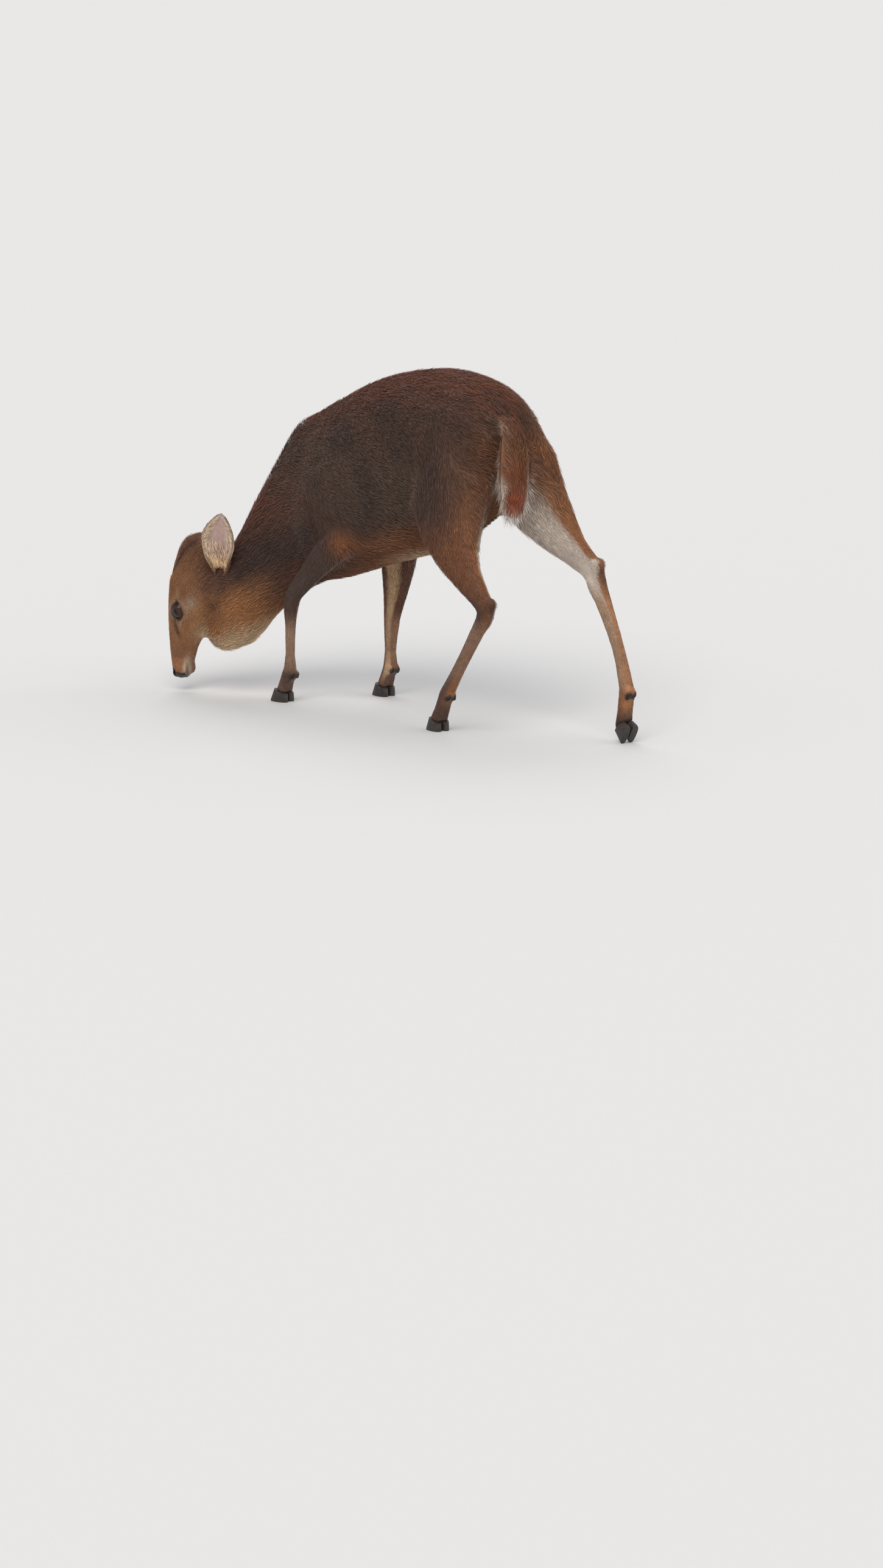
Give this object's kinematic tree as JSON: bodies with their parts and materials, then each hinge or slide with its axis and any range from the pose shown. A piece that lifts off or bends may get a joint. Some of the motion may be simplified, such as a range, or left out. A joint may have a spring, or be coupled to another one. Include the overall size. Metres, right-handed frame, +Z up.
{
  "type": "reeves's muntjac deer",
  "caption": "Life-size still model of a small antlerless deer in its winter coat, walking slowly with its head lowered to the ground and turned to its left.",
  "frame": {"origin": "on the ground under the middle of the whole animal's box", "axes": "+X forwards along the trunk, +Y to the animal's left, +Z up"},
  "size_m": [0.7238, 0.2478, 0.4674],
  "materials": {
    "coat_brown": "short dense dark brown winter hair",
    "coat_back": "short dense grey-brown winter hair",
    "coat_rufous": "short rufous hair",
    "coat_shank": "very short smooth tan hair",
    "coat_face": "very short smooth ginger hair",
    "ear_skin": "thinly haired skin",
    "eye_dark": "wet, near black",
    "hoof_horn": "dark worn horn"
  },
  "bodies": {
    "root": {"belly": "coat_back", "chest": "coat_brown", "ear_left": "ear_skin", "ear_right": "ear_skin", "eye_left": "eye_dark", "eye_right": "eye_dark", "foreleg_lower_left": "coat_shank", "foreleg_lower_right": "coat_shank", "foreleg_upper_left": "coat_brown", "foreleg_upper_right": "coat_brown", "head": "coat_face", "hind_leg_lower_left": "coat_shank", "hind_leg_lower_right": "coat_shank", "hind_leg_upper_left": "coat_rufous", "hind_leg_upper_right": "coat_rufous", "hoof_fore_left_left": "hoof_horn", "hoof_fore_left_right": "hoof_horn", "hoof_fore_right_left": "hoof_horn", "hoof_fore_right_right": "hoof_horn", "hoof_hind_left_left": "hoof_horn", "hoof_hind_left_right": "hoof_horn", "hoof_hind_right_left": "hoof_horn", "hoof_hind_right_right": "hoof_horn", "neck": "coat_brown", "rump": "coat_back", "tail": "coat_rufous"}
  },
  "joints": []
}
